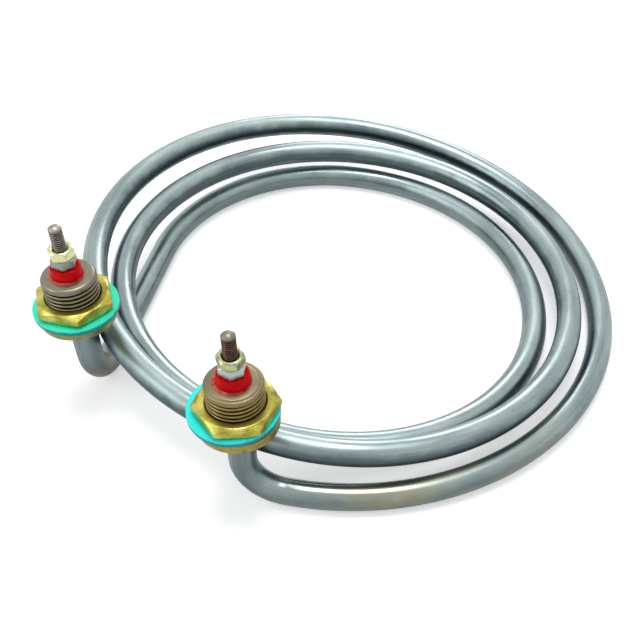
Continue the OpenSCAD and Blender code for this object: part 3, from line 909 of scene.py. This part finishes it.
# Faint clouds under 2 mm across
mottle = node(tree, "ShaderNodeTexNoise", {"Vector": place, "Scale": 0.6, "Detail": 3})
colour = node(tree, "ShaderNodeValToRGB", {0: mottle}, [
    (0.35, "#c60009"), (0.55, "#d6000b"), (0.72, "#e0040f")])
rough = node(tree, "ShaderNodeMapRange", {0: mottle, 1: 0.3, 2: 0.7, 3: 0.2, 4: 0.27})
connect(tree, shader, {"Base Color": colour, "Specular IOR Level": 0.08, "Roughness": rough})

sealant, tree, shader = new_material("cured_sealant", "#b8442c", 0.45, 0.0)
place = in_mm(tree, (0, 0, 0))
# Lumps about a millimetre across, where it set as it was squeezed
mottle = node(tree, "ShaderNodeTexNoise", {"Vector": place, "Scale": 0.9, "Detail": 4})
colour = node(tree, "ShaderNodeValToRGB", {0: mottle}, [
    (0.38, "#a02a20"), (0.52, "#bb4a30"), (0.66, "#b07a55")])
bump = node(tree, "ShaderNodeBump", {"Strength": 0.4, "Distance": 0.2 * MM, "Height": mottle})
connect(tree, shader, {"Base Color": colour, "Normal": bump})
print("silicone and sealant ready")

# %% Shapes of a bush and of its skirt
BUSH_HOLE_R = 2.05
BUSH_TAPER = 0.34
SKIRT_INSET = 0.6


def bush(name, node_name, seed):
    """A moulded bush that narrows towards a rounded top."""
    low, high = (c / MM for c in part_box(node_name))
    foot, top = (high.x - low.x) / 2 - 0.2, high.z

    def uneven(r, z, a):
        out = noise.noise(Vector((math.cos(a), math.sin(a), z * 0.15 + seed)))
        return r + (0.1 * out if r > 3 else 0), z

    outline = [(BUSH_HOLE_R, low.z), (foot - 0.12, low.z), (foot, low.z + 0.15)]
    outline += [(foot - BUSH_TAPER * share ** 1.6, low.z + 0.2 + (top - low.z - 0.85) * share)
                for share in (0, 0.15, 0.3, 0.45, 0.6, 0.75, 0.9)]
    outline += quarter(foot - BUSH_TAPER, top, 0.6, 6) + [(BUSH_HOLE_R, top)]
    return lathe(name, outline, (low + high) / 2, 64, uneven=uneven)


def skirt(name, node_name, seed, heavy_side, reach):
    """Ragged ring of sealant that spreads further on its heavy side."""
    low, high = (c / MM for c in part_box(node_name))
    foot = (high.x - low.x) / 2

    def uneven(r, z, a):
        ragged = noise.noise(Vector((math.cos(a) * 2.2, math.sin(a) * 2.2, seed)))
        fine = noise.noise(Vector((math.cos(a) * 7, math.sin(a) * 7, seed)))
        side = max(0.0, math.cos(a - math.radians(heavy_side))) ** 2
        share = (r - foot + SKIRT_INSET) / 0.75
        return r + share * (0.45 * ragged + 0.25 * fine + reach * side), z + 0.05 * fine * share

    outline = [(foot - SKIRT_INSET, low.z), (foot, low.z), (foot - 0.02, low.z + 0.08),
               (foot - 0.12, low.z + 0.25), (foot - 0.3, low.z + 0.45),
               (foot - SKIRT_INSET, low.z + 0.5)]
    return lathe(name, outline, (low + high) / 2, 96, uneven=uneven)


print("bush and skirt makers ready")

# %% Bushes and skirts
for side, seed, heavy, reach in (("right", 1.7, 235, 1.1), ("left", 5.2, 250, 0.7)):
    dress(bush(side + "_moulded_bush", side + "_bush", seed), "element", side + "_bush",
          red_silicone)
    dress(skirt(side + "_sealant_skirt", side + "_bush", seed, heavy, reach), "element", None,
          sealant)
print("2 bushes with sealant")

# %% [markdown]
# ## Studs
# The terminal pins are M4 studs, threaded to a domed tip. The right one has rusted to a
# dark brown below its tip, which fingers and spanners keep bare, and the left one is only
# dull. The pitch is 0.7 mm, so the mesh has a ring of points every twentieth of a
# millimetre where the thread runs.

# %% Steel of the studs
def threaded_steel(name, axis, dull, crest, tip, groove_shade, tip_height):
    """Dull or rusty steel with cleaner patches, painted shade in the grooves and a bare tip."""
    made, tree, shader = new_material(name, dull, 0.42)
    place = in_mm(tree, (axis.x, axis.y, 0))
    height = node(tree, "ShaderNodeSeparateXYZ", {0: place}).outputs["Z"]
    groove = node(tree, "ShaderNodeAttribute", attribute_name="groove").outputs["Fac"]
    # Patches about a millimetre across
    stain = node(tree, "ShaderNodeTexNoise", {"Vector": place, "Scale": 0.9, "Detail": 4})
    rubbed = node(tree, "ShaderNodeValToRGB", {0: stain}, [(0.4, 0.0), (0.65, 1.0)])
    colour = node(tree, "ShaderNodeMix", {0: rubbed, 6: dull, 7: crest}, data_type="RGBA").outputs[2]
    # Painted shade at the bottom of the thread
    dirt_and_groove_shade = node(tree, "ShaderNodeValToRGB", {0: groove}, [(0.2, 0.0), (0.8, 1.0)])
    colour = node(tree, "ShaderNodeMix", {0: dirt_and_groove_shade, 6: colour, 7: groove_shade}, data_type="RGBA").outputs[2]
    bare = node(tree, "ShaderNodeMapRange", {0: height, 1: tip_height - 0.5, 2: tip_height + 0.3})
    colour = node(tree, "ShaderNodeMix", {0: bare, 6: colour, 7: tip}, data_type="RGBA").outputs[2]
    rough = node(tree, "ShaderNodeMapRange", {0: stain, 1: 0.3, 2: 0.7, 3: 0.3, 4: 0.55})
    connect(tree, shader, {"Base Color": colour, "Roughness": rough})
    return made


# The fourth colour of each is the painted shade in the thread grooves
rusty = threaded_steel("rusty_steel", right_axis, "#4e3d33", "#6e574a", "#837e6c", "#150d09",
                       30.05)
dull_steel = threaded_steel("dull_steel", left_axis, "#716d66", "#8f8b83", "#9a978b", "#22201d",
                            30.2)
print("stud steel ready")

# %% Studs
STUD_R = 2.0
STUD_PITCH = 0.7
SPIGOT_R = 0.95
SPIGOT_LENGTH = 5
# The thread starts just inside the bush
THREAD_FOOT = 16.6
DOME = 0.95
DOME_RINGS = 8


def stud(name, node_name, start):
    """Spigot in the tube, plain shank, thread and domed tip."""
    low, high = (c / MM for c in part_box(node_name))
    thread = {"pitch": STUD_PITCH, "depth": 0.36, "crest": 0.22, "low": THREAD_FOOT,
              "high": high.z - DOME - 0.1}
    shoulder = low.z + SPIGOT_LENGTH
    outline = [(0, low.z), (SPIGOT_R, low.z), (SPIGOT_R + 0.02, shoulder), (STUD_R, shoulder)]
    outline += climb(STUD_R, shoulder + 0.2, THREAD_FOOT - 0.2, 10)
    outline += climb(STUD_R, THREAD_FOOT, thread["high"], STUD_PITCH / 14)
    sphere = (STUD_R ** 2 + DOME ** 2) / (2 * DOME)
    half = math.asin(STUD_R / sphere)
    for i in range(DOME_RINGS):
        a = half * (1 - i / DOME_RINGS)
        outline.append((sphere * math.sin(a), high.z - sphere + sphere * math.cos(a)))
    outline.append((0, high.z))
    return lathe(name, outline, (low + high) / 2, 56, thread, start)


for side, start, steel in (("right", 0.4, rusty), ("left", 1.9, dull_steel)):
    dress(stud(side + "_threaded_stud", side + "_pin", start), "element", side + "_pin",
          steel)
print("2 studs")

# %% [markdown]
# ## The pieces inside
# Pressed magnesia, the resistance wire and the plugs of the tube ends can't be seen, and
# the braze shows only as a thin collar under each flange. They keep their own solids and
# get the finish of what they are made of, for whoever opens the part up.

# %% Finishes of the inner pieces
def plain_finish(name, dark, light, roughness, metallic, grain):
    """A two-tone mottled finish. grain is the size of the mottle in mm."""
    made, tree, shader = new_material(name, dark, roughness, metallic)
    place = in_mm(tree, (0, 0, 0))
    mottle = node(tree, "ShaderNodeTexNoise", {"Vector": place, "Scale": 1 / grain, "Detail": 4})
    colour = node(tree, "ShaderNodeValToRGB", {0: mottle}, [(0.35, dark), (0.65, light)])
    bump = node(tree, "ShaderNodeBump", {"Strength": 0.2, "Distance": 0.05 * MM, "Height": mottle})
    connect(tree, shader, {"Base Color": colour, "Normal": bump})
    return made


# Magnesia is pale and chalky, fired wire brownish grey, and silver braze a warm dull yellow
magnesia = plain_finish("pressed_magnesia", "#d9d4c4", "#efece2", 0.9, 0.0, 0.6)
oxidised_wire = plain_finish("oxidised_resistance_wire", "#4d4640", "#7c746b", 0.5, 1.0, 0.8)
braze_metal = plain_finish("silver_braze", "#a8935c", "#c9b98a", 0.35, 1.0, 1.2)
for name, finish in (("magnesia_fill", magnesia), ("resistance_winding", oxidised_wire),
                     ("right_braze", braze_metal), ("left_braze", braze_metal),
                     ("right_end_seal", sealant), ("left_end_seal", sealant)):
    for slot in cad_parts[name].material_slots:
        slot.material = finish
print("6 inner pieces finished")
